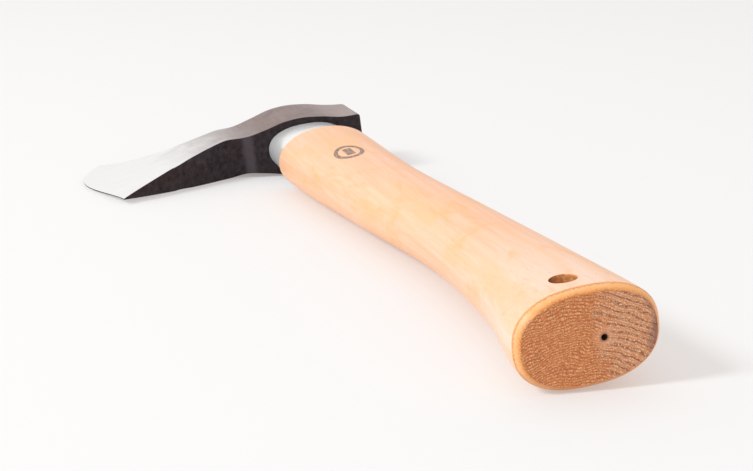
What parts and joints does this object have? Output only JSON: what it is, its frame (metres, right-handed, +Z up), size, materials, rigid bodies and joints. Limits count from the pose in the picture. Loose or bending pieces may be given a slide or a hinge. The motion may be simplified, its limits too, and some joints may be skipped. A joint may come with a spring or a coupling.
{
  "type": "camping hatchet",
  "caption": "Short wooden-handled camping hatchet lying on its side, with a forged steel head, a bright collar, a flared butt and a lanyard hole.",
  "frame": {"origin": "on the floor, under the middle of the bounding box of the hatchet as it lies on its side", "axes": "+X along the handle from the butt to the top of the head, +Y towards the cutting edge, +Z up from the floor; the blade is rolled 7.4 degrees down to the floor"},
  "size_m": [0.4, 0.1532, 0.0361],
  "materials": {
    "handle_wood": "oiled pale hardwood, satin",
    "forged_steel": "forge-darkened, with a ground and polished bevel",
    "collar_steel": "polished",
    "wedge_wood": "end grain, oiled",
    "wedge_steel": "bare"
  },
  "bodies": {
    "root": {"handle": "handle_wood", "head": "forged_steel", "collar": "collar_steel", "wood_wedge": "wedge_wood", "steel_wedge": "wedge_steel"}
  },
  "joints": []
}
